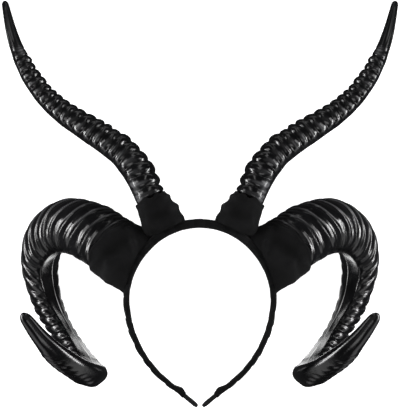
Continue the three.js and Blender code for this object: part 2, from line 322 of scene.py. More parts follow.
# Ram horn: how bluntly its rings end at the face's corners, and the farthest that a face with corners
# lies. The rings of its tip die out towards the upper edge, over ring numbers and turns.
BLUNT_ENDS = 10.0
FLATTEST = 0.98
TIP_RINGS = (17.0, 23.0)
UPPER_EDGE = (-20.0, 30.0)

# The bead on a ring's lip: where in the ring it lies, how wide, and the turns over which the painted
# highlight line along it ends
LIP_PLACE = 0.14
LIP_WIDTH = 0.05
LIP_HIGHLIGHT_TURNS = (35.0, 80.0)

# The painted highlight bar, partly pale dry-brushed paint, on each ring of an upright horn: its width as
# a share of the ring, its middle and spread as turns, the random limits of its strength, and what it
# shows between the fine lines
BAR_WIDTH = 0.13
BAR_TURNS = (104.0, 26.0)
BAR_STRENGTHS = (0.15, 0.9)
BAR_BASE = 0.7

# Painted highlight spots, partly pale dry-brushed paint, on an upright horn: ring number and turn of the
# middle, spread over both, and strength, and how strongly the fine lines break them up
HIGHLIGHT_SPOTS = np.array([
    [0.4, 132.0, 0.45, 18.0, 1.4],
    [1.4, 128.0, 0.40, 16.0, 1.2],
    [20.8, 60.0, 0.50, 24.0, 1.0],
])
SPOT_LINES = 2

# Uneven skin. Upright horn: how far before its end the smooth tip begins and is reached, height and pitch
# of the dents, what the smooth tip takes of them, the shares of the sleeve's length over which they
# begin, and the flutes' height, number and phase. Ram horn: the dents' height at the root, what is lost
# of it towards the tip, and their pitch. The flutes and the ram horn's dents end over the last stretch.
SMOOTH_TIP = (52, 32)
UPRIGHT_DENTS = (0.10, 14.0)
DENTS_LOST = 0.85
DENTS_FROM = (0.8, 1.2)
FLUTES = (0.24, 7, 0.7)
RAM_DENTS = (0.18, 0.10, 22.0)
LAST_STRETCH = 12

# Foot of a horn above the wound ribbon, and of a sleeve that laps over the ribbon's shoulders, with the
# share of the lap by which the foot's two ends settle on the ribbon
FOOT_LIFT = 0.6
SLEEVE_DEEP = 13.0
SLEEVE_LAP = 2.4
SETTLED = 0.2
SLEEVE_GAP = 0.3

# The two neighbouring sleeves meet at this run along the band. The hump by which they reach for each
# other is scaled so that its top is one.
WEB_RUN = 37.0
HUMP_SCALE = 9.48

# Sleeve cloth, by the share of its length from the band to its edge: height and power of its slack, the
# shares over which folds begin and end, and height, number, unevenness and reach of the gathers
SLEEVE_SEED = 23
SLACK = (0.5, 1.5)
FOLDS_FROM = (0.0, 0.08)
FOLDS_TO = (0.9, 1.0)
GATHERS = (0.22, 17, 2, 0.12)

# Height and pitch of its wrinkles and where they begin, height and reach of its flare at the band on the
# side that looks away from the neighbour, height and place of the hem, and how far the rounded ends of
# the wall lie past the edge and the band
WRINKLES = (0.16, 9.0)
WRINKLES_FROM = (0.0, 0.1)
FLARE = (1.0, 0.1)
HEM = 0.35
HEM_PLACE = (0.9, 0.95)
EDGE_ROUND = 1.012
FOOT_ROUND = -0.004

# Unevenness of its edge as a share of its length, and that wave's pitch, the middle and spread of the
# edge's dip as turns in radians, and where both begin
FRAY = (0.04, 9.0)
DIP_TURNS = (0.6, 0.7)
FRAY_FROM = (0.6, 1.0)

# Painted light and shade on the cloth: its level everywhere, and how much paler it is painted for each
# millimetre of fold and wrinkle, so that their crests look lit and their hollows shaded
CLOTH_PAINTED_LEVEL = 0.4
FOLD_PAINTED_LIGHT = 0.5
WRINKLE_PAINTED_LIGHT = 1.2

# Folds of a sleeve: from a share of its length and a turn in degrees to another, height and width
UPRIGHT_FOLDS = np.array([
    [0.80, -35, 0.84, 45, 1.5, 2.2],
    [0.46, -35, 0.48, 50, 1.5, 2.2],
    [0.16, -30, 0.15, 50, 0.4, 2.2],
    [0.15, 100, 0.50, 125, 0.8, 2.6],
    [0.50, 125, 0.85, 110, 0.5, 2.4],
    [0.20, 250, 0.80, 230, 0.8, 2.6],
])
RAM_FOLDS = np.array([
    [0.60, 38, 0.30, 60, 1.0, 1.5],
    [0.30, 60, 0.06, 77, 1.2, 1.5],
    [0.20, 84, 0.42, 112, 1.1, 2.6],
    [0.42, 112, 0.36, 154, 1.4, 2.4],
    [0.66, 118, 0.93, 146, 1.0, 2.2],
    [0.55, 172, 0.85, 164, 1.0, 4.0],
    [0.80, 50, 0.92, 84, 0.6, 2.0],
    [0.20, 300, 0.80, 250, 1.0, 2.8],
    [0.30, 215, 0.85, 225, 0.8, 3.0],
])

# Flat size of each kind of sleeve's cloth in metres: the way round, and from the band to the edge
UPRIGHT_FLAT = (0.075, 0.029)
RAM_FLAT = (0.135, 0.027)

# Grid of each piece: rows along it and columns round it
RAM_GRID = (900, 104)
UPRIGHT_GRID = (760, 88)
TIP_STEPS = 16
SLEEVE_GRID = (110, 132)
SLEEVE_INNER_ROWS = 24
WRAP_GRID = (760, 48)
WRAP_INNER_ROWS = 120
HOOP_GRID = (260, 28)

# Weave of the cloths, in threads for each millimetre and their slant in radians, and the strength of the
# horns' growth lines
RIBBON_WEAVE = (2.4, 0.35)
SLEEVE_WEAVE = (2.0, 0.2)
UPRIGHT_GROWTH = 0.14
RAM_GROWTH = 0.3

# Finishes: the base colour's shares in dark and light places, which on the cloth are its painted shade
# and painted light, what the painted highlights and patches add to the skin's roughness, the cloth's tone
# in its patches and its painted shade between its threads, and how strongly the latter shows
WHITE = (1.0, 1.0, 1.0)
SKIN_TONES = (0.6, 1.5)
CLOTH_TONES = (0.6, 1.8)
HOOP_TONES = (0.8, 1.3)
HIGHLIGHT_ROUGHNESS = 0.12
PATCH_ROUGHNESS = 0.08
PATCH_TONE = 0.7
GAP_SHADE = 0.2
GAP_SHOWN = 0.25


@dataclass
class Strip:
    """A soft light: both ends and the target in worn millimetres, and the width."""

    start: tuple
    end: tuple
    width: float
    target: tuple


# Lights on each side and in the middle, by the names that their powers have in the settings
SIDE_STRIPS = {
    "side": Strip((900, -170, -340), (900, -170, 260), 140, (60, 0, -20)),
    "key": Strip((900, -170, -40), (615, -528, 444), 250, (90, 10, 30)),
    "under": Strip((420, -160, -1000), (1020, -160, -200), 500, (80, 0, -40)),
}
MIDDLE_STRIPS = {
    "top": Strip((0, -146, 981), (0, -754, 599), 140, (0, 30, 0)),
    "low": Strip((0, -1205, -1010), (0, -1455, -580), 800, (0, 0, -60)),
    "front": Strip((0, -1900, -500), (0, -1900, 1100), 2400, (0, 0, 0)),
}

# Lit panels in the table under a curl's inner edge: both ends, out and up, the width, and the share of
# the glow. Another lies above the horns, and all of them just over the floor.
CURL_PANELS = (
    ((106.0, -53.0), (104.0, -66.0), 7.0, 1.3),
    ((101.0, -66.0), (97.0, -80.0), 12.0, 1.0),
    ((96.0, -81.0), (86.0, -104.0), 12.0, 0.5),
    ((74.0, -79.0), (74.0, -111.0), 14.0, 1.1),
)
BACK_PANEL = ((0.0, 215.0), (0.0, 620.0), 300.0)
PANEL_HEIGHT = 0.001

# The floor's half size in metres, the light of the surroundings, and the camera's sensor and far limit
FLOOR_REACH = 6.0
WORLD_TONE = (0.04, 0.04, 0.042)
SENSOR_WIDTH = 36.0
CLIP_END = 20.0

# Kinds of settings
COLOUR = {"subtype": "COLOR", "size": 3, "min": 0.0, "max": 1.0}
LENGTH = {"subtype": "DISTANCE", "unit": "LENGTH"}
POWER = {"subtype": "POWER", "unit": "POWER", "min": 0.0}


class HornSettings(bpy.types.PropertyGroup):
    """Finish of the four horns."""

    colour: FloatVectorProperty(
        name="Colour",
        description="Base colour of the glossy skin",
        default=(0.0045, 0.0045, 0.005),
        **COLOUR,
    )
    # Colour of the painted highlights on the rings, partly pale dry-brushed paint on the upright horns
    highlight_colour: FloatVectorProperty(
        name="Worn colour",
        description="Colour of the rubbed places on the rings",
        default=(0.11, 0.11, 0.115),
        **COLOUR,
    )
    roughness: FloatProperty(
        name="Roughness",
        description="Roughness of the polished skin",
        subtype="FACTOR",
        min=0.0,
        max=1.0,
        default=0.13,
    )
    relief: FloatProperty(
        name="Ring relief",
        description="How strongly the rings stand out",
        subtype="FACTOR",
        min=0.0,
        max=2.0,
        default=1.0,
    )
    seed: IntProperty(
        name="Seed",
        description="Which set of uneven rings is drawn",
        min=0,
        default=7,
    )


class ClothSettings(bpy.types.PropertyGroup):
    """Cloth of the sleeves, the ribbon wound round the hoop, and the hoop."""

    colour: FloatVectorProperty(
        name="Colour",
        description="Base colour of the black cloth",
        default=(0.0058, 0.0058, 0.0062),
        **COLOUR,
    )
    wall: FloatProperty(
        name="Thickness",
        description="Thickness of a sleeve's cloth",
        min=0.0,
        default=0.0013,
        **LENGTH,
    )
    ribbon_pitch: FloatProperty(
        name="Ribbon pitch",
        description="Distance along the hoop between two turns of the ribbon",
        min=0.001,
        default=0.0115,
        **LENGTH,
    )
    ribbon_step: FloatProperty(
        name="Ribbon step",
        description="How far one turn of the ribbon stands above the next",
        min=0.0,
        default=0.0006,
        **LENGTH,
    )
    hoop_colour: FloatVectorProperty(
        name="Hoop colour",
        description="Base colour of the plastic hoop's bare tips",
        default=(0.006, 0.006, 0.0064),
        **COLOUR,
    )


class StageSettings(bpy.types.PropertyGroup):
    """Floor, lights and camera."""

    floor_colour: FloatVectorProperty(
        name="Floor",
        description="Colour of the pale floor",
        default=(0.9, 0.9, 0.9),
        **COLOUR,
    )
    floor_glow: FloatProperty(
        name="Floor glow",
        description="Light that the floor gives off, as a lit table does",
        min=0.0,
        default=0.94,
    )
    side_power: FloatProperty(
        name="Side lights",
        description="Power of the soft light on each side",
        default=5.0,
        **POWER,
    )
    key_power: FloatProperty(
        name="Key lights",
        description="Power of the slanting strip on each side",
        default=1.9,
        **POWER,
    )
    top_power: FloatProperty(
        name="Top light",
        description="Power of the long soft light above the horns",
        default=0.6,
        **POWER,
    )
    under_power: FloatProperty(
        name="Under lights",
        description="Power of the wide soft light low on each side",
        default=1.6,
        **POWER,
    )
    low_power: FloatProperty(
        name="Low light",
        description="Power of the soft light below the camera",
        default=2.6,
        **POWER,
    )
    front_power: FloatProperty(
        name="Front fill",
        description="Power of the wide weak light behind the camera",
        default=2.4,
        **POWER,
    )
    back_glow: FloatProperty(
        name="Back glow",
        description="Brightness of the lit panel in the table above the horns",
        min=0.0,
        default=0.8,
    )
    curl_glow: FloatProperty(
        name="Curl glow",
        description="Brightness of the small lit panels in the table under each curl",
        min=0.0,
        default=2.0,
    )
    camera_distance: FloatProperty(
        name="Camera distance",
        description="Distance from the camera to the band's plane",
        min=0.1,
        default=1.8,
        **LENGTH,
    )
    frame_span: FloatProperty(
        name="Frame span",
        description="How much of the band's plane the picture's longer side takes in",
        min=0.01,
        default=0.306,
        **LENGTH,
    )
    aim_up: FloatProperty(
        name="Aim",
        description="Height above the crown that the middle of the picture shows",
        default=0.0146,
        **LENGTH,
    )


# Shapes as arrays


def unit(vectors):
    """Vectors scaled to length one."""
    return vectors / np.linalg.norm(vectors, axis=-1, keepdims=True)


def smooth_step(low, high, value):
    """0 below low, 1 above high, and between them the cubic 3t^2 - 2t^3."""
    t = np.clip((value - low) / (high - low), 0.0, 1.0)
    return t * t * (3.0 - 2.0 * t)


def bell(value, middle, spread):
    """The bell curve e^(-t^2), where t is the distance from the middle in spreads."""
    return np.exp(-(((value - middle) / spread) ** 2))


def wrapped(turn):
    """Turns brought to between minus and plus half a circle."""
    return (turn + np.pi) % (2 * np.pi) - np.pi


def blend(table, share):
    """A table read between its rows at an even pace, each column by a Catmull-Rom cubic."""
    last = len(table) - 1
    step = np.clip(np.floor(share * last).astype(int), 0, last - 1)
    u = (share * last - step)[:, None]
    a, b, c, d = (table[np.clip(step + k, 0, last)] for k in (-1, 0, 1, 2))
    bend = (2 * a - 5 * b + 4 * c - d) * u + (3 * b - a - 3 * c + d) * u * u
    return b + 0.5 * u * (c - a + bend)


def look_up(rows, share):
    """Columns of a table of shares, eased from row to row by the cubic 3t^2 - 2t^3."""
    step = np.clip(np.searchsorted(rows[:, 0], share, side="right") - 1, 0, len(rows) - 2)
    t = smooth_step(rows[step, 0], rows[step + 1, 0], share)[..., None]
    return rows[step, 1:] * (1 - t) + rows[step + 1, 1:] * t


def band_at(run):
    """Points of the band's centre line at runs from the crown, and its outward directions."""
    gone = np.abs(run)
    side = np.where(run < 0, -1.0, 1.0)
    crown = np.minimum(gone, CROWN_RUN) / CROWN_RADIUS
    turn = np.clip(gone - CROWN_RUN, 0.0, SIDE_RUN) / SIDE_RADIUS
    straight = np.maximum(gone - CROWN_RUN - SIDE_RUN, 0.0)
    heading = crown + turn
    reach = CROWN_RADIUS * np.sin(crown) - SIDE_RADIUS * (1 - np.cos(turn))
    drop = CROWN_RADIUS * (1 - np.cos(crown)) + SIDE_RADIUS * np.sin(turn)
    out = reach + straight * np.cos(heading)
    down = drop + straight * np.sin(heading)
    level = np.zeros_like(out)
    point = np.stack([side * out, level, -down], axis=-1)
    outward = np.stack([side * np.sin(heading), level, np.cos(heading)], axis=-1)
    return point, outward


def seat_at(run, back, lift):
    """Points over the wound ribbon's outer face: the band's line, moved outward and back."""
    point, outward = band_at(run)
    outer = look_up(WRAP_ROWS, np.abs(run) / HALF_RUN)[..., 0]
    place = point + outward * (outer + lift)[..., None]
    place[..., 1] = back
    return place


def ripple(rng, along, turn, pitch):
    """Soft uneven noise: sine waves of random phase, near a pitch along and whole in number round."""
    total = np.zeros(np.broadcast_shapes(along.shape, turn.shape))
    for _ in range(WAVES):
        rate = 2 * np.pi / (pitch * rng.uniform(*WAVE_PITCHES))
        lobes = rng.integers(*WAVE_LOBES)
        total += np.sin(rate * along + lobes * turn + rng.uniform(0, 2 * np.pi))
    return total / np.sqrt(WAVES)


class CentreLine:
    """A horn's centre line from its seat to its tip, read by the distance along it."""

    def __init__(self, horn):
        seat = seat_at(np.array([horn.run]), 0.0, FOOT_LIFT)[0]
        self.table = np.array([[*seat, *horn.foot], *horn.rows])
        self.share = np.linspace(0, 1, LINE_SAMPLES + 1)
        points = blend(self.table, self.share)[:, PLACE]
        steps = np.linalg.norm(np.diff(points, axis=0), axis=1)
        self.gone = np.concatenate([[0.0], np.cumsum(steps)])
        self.length = self.gone[-1]
        self.edge = np.interp(1 / (len(self.table) - 1), self.share, self.gone)

    def at(self, distance):
        """Table values and the line's direction at each distance."""
        share = np.interp(distance, self.gone, self.share)
        ahead = blend(self.table, np.minimum(share + TANGENT_STEP, 1.0))[:, PLACE]
        behind = blend(self.table, np.maximum(share - TANGENT_STEP, 0.0))[:, PLACE]
        return blend(self.table, share), unit(ahead - behind)


def crest_of(horn, row, tangent):
    """The direction in which rings stand out, square to the line: up and inwards, or away from the
    curl's heart."""
    if horn.heart is None:
        return unit(np.cross(tangent, [0.0, 1.0, 0.0]))
    out, up = (np.full(len(row), value) for value in horn.heart)
    away = row[:, PLACE] - np.stack([out, row[:, FACING], up], -1)
    return unit(away - tangent * np.sum(away * tangent, axis=1, keepdims=True))


def section(turn, flat, keen=0.0):
    """A round section cut by a flat face: the smaller of the circle's radius, 1, and the face's distance.
    Their corner is rounded by taking the log of a sum of powers of e, the back one more than the front
    one unless it is keen, and the face is hollowed by a parabola. Returns the shares along crest and
    flank."""
    cos, sin = np.cos(turn), np.sin(turn)
    face = np.minimum(flat / np.maximum(-cos, LEAST_DOWN), FACE_LIMIT)
    passed = np.maximum(smooth_step(*CORNER_PASSAGE, sin), keen)
    sharp = BACK_CORNER + (FRONT_CORNER - BACK_CORNER) * passed
    radius = -np.log(np.exp(-sharp) + np.exp(-sharp * face)) / sharp
    radius = np.where(flat >= ROUND_FROM, 1.0, radius)
    corner = np.sqrt(np.maximum(1 - flat * flat, LEAST_FACE))
    inside = np.clip(1 - (radius * sin / corner) ** 2, 0, 1) * (cos < 0)
    hollow = FACE_HOLLOW * inside * (1 - flat) * 2
    return radius * cos + hollow, radius * sin


def horn_points(horn, line, distance, turn, swell=0.0, relief=0.0, lap=0.0, deep=None):
    """Points of a horn's surface on a grid of distances along it and turns round it.

    A point lies at the centre line plus the section's shares of crest and flank, times half sizes that
    are swollen by a clearance and raised by the relief. Short of the sleeve's edge it eases, by the
    cube of what is left, to a foot whose points follow the band. lap lowers the foot's front and back,
    and a share of it the foot's ends.
    """
    row, tangent = line.at(distance)
    crest = crest_of(horn, row, tangent)
    flank = np.cross(tangent, crest)
    past = np.clip((distance + horn.nose - line.length) / horn.nose, 0.0, 1.0)
    nose = np.sqrt(np.maximum(1 - past * past, 0.0))[:, None]
    half = row[:, [ACROSS]] / 2 * nose
    high = half + swell
    wide = row[:, [THROUGH]] / 2 * nose + swell
    flat = np.clip((row[:, [FLAT]] * half + swell) / np.maximum(high, TINY), 0.0, 1.0)
    keen = smooth_step(*KEEN_FROM, distance / line.length)[:, None]
    along_crest, along_flank = section(turn[None, :], flat, keen)
    proud = 1 + relief / (row[:, [ACROSS]] / 2)
    points = (
        row[:, None, PLACE]
        + crest[:, None, :] * (high * along_crest * proud)[..., None]
        + flank[:, None, :] * (wide * along_flank * proud)[..., None]
    )
    rooted = distance < line.edge
    if rooted.any():
        share = distance[rooted] / line.edge
        ease = (1 - (1 - share) ** 3)[:, None, None]
        clear = np.broadcast_to(swell, points.shape[:2])[rooted]
        c, f = section(turn[None, :], np.full((1, 1), horn.foot[FLAT - ACROSS]))
        reach = horn.deep if deep is None else deep
        lowered = SETTLED + (1 - SETTLED) * np.sin(turn)[None, :] ** 2
        foot = seat_at(
            horn.run - (horn.long / 2 + clear) * c,
            -(reach / 2 + clear) * f,
            FOOT_LIFT - lap * lowered,
        )
        points[rooted] = foot * (1 - ease) + points[rooted] * ease
    return points


def ring_number(horn, line, distance):
    """How many rings lie before each distance: the inverse of the distance that n rings take up, which is
    first n + (last - first) n^2 / (2 count)."""
    ribs = horn.ribs
    slope = (ribs.last - ribs.first) / ribs.count
    square = ribs.first**2 + 2 * slope * (distance - line.edge)
    return (np.sqrt(np.maximum(square, TINY)) - ribs.first) / slope


def ring_shape(u, ribs):
    """One ring from root to tip: one less a power of the distance from its peak, with its own power on
    each side, and a bead along its lip by the groove."""
    up = ((ribs.peak - np.minimum(u, ribs.peak)) / ribs.peak) ** ribs.rise
    down = ((np.maximum(u, ribs.peak) - ribs.peak) / (1 - ribs.peak)) ** ribs.fall
    return 1 - up - down + ribs.lip * bell(u, LIP_PLACE, LIP_WIDTH)


def leaning_number(horn, line, distance, turn):
    """Ring numbers over the grid. A ring leans: each point of it lies ahead of its middle by half of
    across, times the crest's lean along the crest and the table's lean along the flank."""
    row, _ = line.at(distance)
    c, f = section(turn[None, :], np.clip(row[:, [FLAT]], 0.0, 1.0))
    taken = np.clip(ring_number(horn, line, distance) / LEANING_RINGS, 0, 1)[:, None]
    ahead = taken * row[:, [ACROSS]] / 2 * (horn.ribs.crest_lean * c + row[:, [LEAN]] * f)
    return ring_number(horn, line, distance[:, None] - ahead)


@dataclass
class RingGrid:
    """Rings over a horn's grid: the number that runs on along it, the whole ring, the share of it that
    is gone, the fine lines' height and how far the rings fade at both ends."""

    number: np.ndarray
    ring: np.ndarray
    gone: np.ndarray
    lines: np.ndarray
    fade: np.ndarray


def ring_grid(horn, line, distance, turn):
    """Rings that lean and wander by sines of turn and number, with fine lines that drift and wave."""
    ribs = horn.ribs
    number = leaning_number(horn, line, distance, turn)
    number = number + sum(
        share * np.sin(lobes * turn[None, :] + phase * number) for share, lobes, phase in RING_WANDER
    )
    drift, rate = LINE_DRIFT
    wave, lobes = LINE_WAVE
    count = LINES_PER_RING * number + drift * np.sin(rate * number) + wave * np.sin(lobes * turn)
    lost = LINES_LOST * smooth_step(*LINED_RINGS, number)
    left = UPRIGHT_LINES if horn.heart is None else 1 - lost
    ending = smooth_step(ribs.count - ribs.fading, ribs.count, number)
    return RingGrid(
        number=number,
        ring=np.clip(np.floor(number).astype(int), 0, ribs.count),
        gone=number - np.floor(number),
        lines=np.sin(2 * np.pi * count) * left,
        fade=smooth_step(*FIRST_RING, number) * (1 - ending),
    )


def upright_weight(ribs, grid, turn, rng):
    """Share of the rings' height round an upright horn, least at its lower edge, and its painted
    highlights, partly pale dry-brushed paint: a bar on each ring's peak, of random strength, and a few
    spots, all of them bell curves of ring and turn that the fine lines break up."""
    bent = np.abs(wrapped(turn))[None, :]
    crested = (1 - CREST_SHARE + CREST_SHARE * np.cos(turn))[None, :]
    weight = crested * (1 - smooth_step(*np.radians(LOWER_EDGE), bent))
    # Painted highlights, partly pale dry-brushed paint: a bar on each ring's peak and a few spots
    bar = bell(grid.gone, ribs.peak, BAR_WIDTH) * (BAR_BASE + grid.lines)
    bar *= bell(turn, *np.radians(BAR_TURNS))[None, :]
    painted_highlight = bar * rng.uniform(*BAR_STRENGTHS, ribs.count + 1)[grid.ring] * grid.fade
    for number, middle, wide, spread, strength in HIGHLIGHT_SPOTS:
        spot = bell(grid.number, number, wide) * bell(turn, np.radians(middle), np.radians(spread))
        painted_highlight = painted_highlight + strength * spot * (1 + SPOT_LINES * grid.lines)
    return weight, painted_highlight


def ram_weight(grid, turn, flat):
    """Share of the rings' height round a ram horn, which ends by a power of the turn at the flat face's
    corners and, on the tip, at the upper edge, and its painted highlights: thin pale lines on the beads
    of the crest's lips."""
    around = wrapped(turn)[None, :]
    bent = np.abs(around)
    corner = np.arccos(-np.clip(flat, 0, FLATTEST))
    weight = np.clip(1 - (bent / corner) ** BLUNT_ENDS, 0, 1)
    upper = smooth_step(*np.radians(UPPER_EDGE), -around)
    weight = weight * (1 - upper * smooth_step(*TIP_RINGS, grid.number))
    # Painted highlight lines on the beads of the lips, fading away from the crest
    lip = bell(grid.gone, LIP_PLACE, LIP_WIDTH)
    return weight, lip * (1 - smooth_step(*np.radians(LIP_HIGHLIGHT_TURNS), bent)) * weight * grid.fade


def ring_relief(horn, line, distance, turn, rng, strength):
    """Height of the rings over the grid, and the strength of the pale painted highlight at each place,
    from
    0 to 1. A ring's height is its shape, less a fine groove and plus fine lines, times its own random
    size."""
    ribs = horn.ribs
    grid = ring_grid(horn, line, distance, turn)
    size, depth, place = (
        rng.uniform(*limits, ribs.count + 1)[grid.ring]
        for limits in (RING_SIZES, GROOVE_DEPTHS, GROOVE_PLACES)
    )
    shape = ring_shape(grid.gone, ribs) - depth * bell(grid.gone, place, GROOVE_WIDTH)
    shape = shape + LINE_SHARE * grid.lines
    height = ribs.low + (ribs.high - ribs.low) * grid.number / ribs.count
    if horn.heart is None:
        weight, painted_highlight = upright_weight(ribs, grid, turn, rng)
    else:
        weight, painted_highlight = ram_weight(grid, turn, line.at(distance)[0][:, [FLAT]])
    return strength * height * size * shape * weight * grid.fade, np.clip(painted_highlight, 0, 1)


def strip_points(run, round_turn, outer, inner, edge, power):
    """A strip's surface along the band: a superellipse of the given power across it, with half sizes
    to its outer face, inner face and edges."""
    point, outward = band_at(run)
    c, s = np.cos(round_turn), np.sin(round_turn)
    wide = np.sign(c) * np.abs(c) ** (2 / power)
    thick = np.sign(s) * np.abs(s) ** (2 / power)
    proud = np.where(s > 0, outer, inner) * thick
    points = point[:, None, :] + outward[:, None, :] * proud[..., None]
    points[..., 1] = edge * wide
    return points


# Meshes and objects


def to_frame(points):
    """Worn millimetres turned into the frame's metres."""
    axes = np.stack([WORN_RIGHT, WORN_BACK, WORN_UP])
    return WORN_ORIGIN + MM * points @ axes


def grid_object(name, points, along, around, looped, ridge=None):
    """An object from a grid of points whose columns run round the piece.

    The last row joins the first where looped, and otherwise each end closes on a pole in its middle.
    along and around are the surface's own coordinates in millimetres, with a column more than the
    points, and a row more where looped. The last argument is a value for each point that the materials
    read: painted highlights on a horn, painted light and shade on cloth. The faces are turned over if the
    enclosed volume comes out negative.
    """
    rows, columns = points.shape[:2]
    steps = rows if looped else rows - 1
    r, c = np.meshgrid(np.arange(steps), np.arange(columns), indexing="ij")
    corner_rows = np.stack([r, r, r + 1, r + 1], -1).reshape(-1, 4)
    corner_columns = np.stack([c, c + 1, c + 1, c], -1).reshape(-1, 4)
    quads = (corner_rows % rows) * columns + corner_columns % columns
    spots = to_frame(points.reshape(-1, 3))
    a, b, d, e = (spots[quads[:, k]] for k in range(4))
    volume = np.sum(a * np.cross(b, d)) + np.sum(a * np.cross(d, e))
    if volume < 0:
        quads, corner_rows, corner_columns = (x[:, ::-1] for x in (quads, corner_rows, corner_columns))
    faces = quads.tolist()
    mapped = [np.stack([x[corner_rows, corner_columns] for x in (along, around)], -1).reshape(-1, 2)]
    if not looped:
        ends = np.stack([spots[:columns].mean(0), spots[-columns:].mean(0)])
        spots = np.concatenate([spots, ends])
        ring = np.arange(columns)
        for pole, row, turned in ((rows * columns, 0, False), (rows * columns + 1, rows - 1, True)):
            pair = [ring, ring + 1] if turned == (volume >= 0) else [ring + 1, ring]
            first, second = (row * columns + x % columns for x in pair)
            faces += np.stack([first, second, np.full(columns, pole)], -1).tolist()
            middle = np.stack([along[row, :-1], np.full(columns, around[row].mean())], -1)
            edge = [np.stack([along[row, x], around[row, x]], -1) for x in pair]
            mapped.append(np.stack([*edge, middle], 1).reshape(-1, 2))
    mesh = bpy.data.meshes.new(name)
    mesh.from_pydata(spots, [], faces)
    mesh.polygons.foreach_set("use_smooth", np.ones(len(mesh.polygons), bool))
    layer = mesh.uv_layers.new(name="surface")
    layer.uv.foreach_set("vector", np.concatenate(mapped).astype(np.float32).ravel())
    # The value for each point that the materials read as painted highlights on a horn and painted light
    # and shade on cloth
    if ridge is not None:
        values = np.zeros(len(spots), np.float32)
        values[: rows * columns] = ridge.ravel()
        mesh.attributes.new("ridge", "FLOAT", "POINT").data.foreach_set("value", values)
    mesh.update()
    made = bpy.data.objects.new(name, mesh)
    bpy.context.scene.collection.objects.link(made)
    return made


def seat_piece(piece, node, material):
    """Gives a finished piece its material and its body, and hides the imported node that it stands for.
    """
    piece.data.materials.append(material)
    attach(piece, BODY)
    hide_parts(node)
    return piece


def round_turns(columns):
    """Turns round a section, one more than the columns, that start and end at the back."""
    return np.linspace(-np.pi / 2, 3 * np.pi / 2, columns + 1)


def mirrored(points, side):
    """The left-hand copy of right-hand points where side is negative."""
    return points * np.array([side, 1.0, 1.0])


def horn_object(name, horn, grid, side, settings, dents):
    """A whole horn from its foot on the band to its rounded tip, with rings and uneven skin. The tip's
    rows crowd towards its end by a sine."""
    line = CentreLine(horn)
    rows, columns = grid
    body = np.linspace(0, line.length - horn.nose, rows)
    tip = line.length - horn.nose * (1 - np.sin(np.linspace(0, np.pi / 2, TIP_STEPS)[1:-1]))
    distance = np.concatenate([body, tip])
    turns = round_turns(columns)
    turn = turns[:-1]
    rng = np.random.default_rng(settings.seed)
    # The second value is the painted highlight on the rings
    relief, ridge = ring_relief(horn, line, distance, turn, rng, settings.relief)
    relief = relief + dents(line, distance[:, None], turn[None, :], rng)
    points = mirrored(horn_points(horn, line, distance, turn, relief=relief), side)
    row, _ = line.at(distance)
    along = np.repeat(distance[:, None], columns + 1, 1)
    around = turns[None, :] * (row[:, [ACROSS]] / 2)
    return grid_object(name, points, along, around, False, ridge)


def upright_dents(line, distance, turn, rng):
    """Dents all over the horn, and low flutes, a sine of the turn, that run along its smooth tip."""
    smooth = smooth_step(*(line.length - x for x in SMOOTH_TIP), distance)
    height, pitch = UPRIGHT_DENTS
    dents = height * ripple(rng, distance, turn, pitch) * (1 - DENTS_LOST * smooth)
    high, number, phase = FLUTES
    ending = 1 - smooth_step(line.length - LAST_STRETCH, line.length, distance)
    flutes = high * np.sin(number * turn + phase) * smooth * ending
    return dents * smooth_step(*(line.edge * x for x in DENTS_FROM), distance) + flutes


def ram_dents(line, distance, turn, rng):
    """Dents all over the horn, stronger towards its root."""
    height, lost, pitch = RAM_DENTS
    size = height - lost * smooth_step(line.edge, line.length, distance)
    ending = 1 - smooth_step(line.length - LAST_STRETCH, line.length, distance)
    return ripple(rng, distance, turn, pitch) * size * ending


def fold_heights(folds, share, turn, length, radius):
    """Sum of soft ridges: each falls off as a bell curve of the distance from its own segment."""
    x = share * length
    total = np.zeros((len(share), len(turn)))
    for s0, t0, s1, t1, height, wide in folds:
        start = np.array([s0 * length, np.radians(t0) * radius])
        lean = np.array([s1 * length, np.radians(t1) * radius]) - start
        middle = np.radians((t0 + t1) / 2)
        y = (wrapped(turn - middle) + middle)[None, :] * radius
        t = np.clip(((x - start[0]) * lean[0] + (y - start[1]) * lean[1]) / (lean @ lean), 0, 1)
        far = np.hypot(x - start[0] - t * lean[0], y - start[1] - t * lean[1])
        total += height * bell(far, 0.0, wide)
    return total


def sleeve_stand(horn, line, held, turn, folds, rng):
    """How far a sleeve's cloth stands off the horn, and how pale it is painted: painted light on the
    crests of folds and wrinkles and painted shade in their hollows. It stands off by a gap, a slack that
    is a power of a sine, folds, gathers and a flare that die out from the band, and wrinkles."""
    around = turn[None, :]
    high, power = SLACK
    slack = high * np.sin(np.pi * held) ** power
    creases = fold_heights(folds, held, turn, line.edge, horn.rows[0][ACROSS] / 2)
    creases *= smooth_step(*FOLDS_FROM, held) * (1 - smooth_step(*FOLDS_TO, held))
    high, number, uneven, reach = GATHERS
    gathers = high * np.sin(number * around + uneven * np.sin(2 * around)) * np.exp(-held / reach)
    high, pitch = WRINKLES
    wrinkles = high * ripple(rng, held * line.edge, around, pitch)
    high, reach = FLARE
    flare = high * np.maximum(0, -horn.crest_side * np.cos(around)) ** 2 * np.exp(-held / reach)
    stand = SLEEVE_GAP + slack + creases + gathers + flare + wrinkles * smooth_step(*WRINKLES_FROM, held)
    # Painted light on the crests of folds and wrinkles, painted shade in their hollows
    pale = np.clip(CLOTH_PAINTED_LEVEL + FOLD_PAINTED_LIGHT * creases + WRINKLE_PAINTED_LIGHT * wrinkles, 0, 1)
    return np.maximum(stand, SLEEVE_GAP), pale


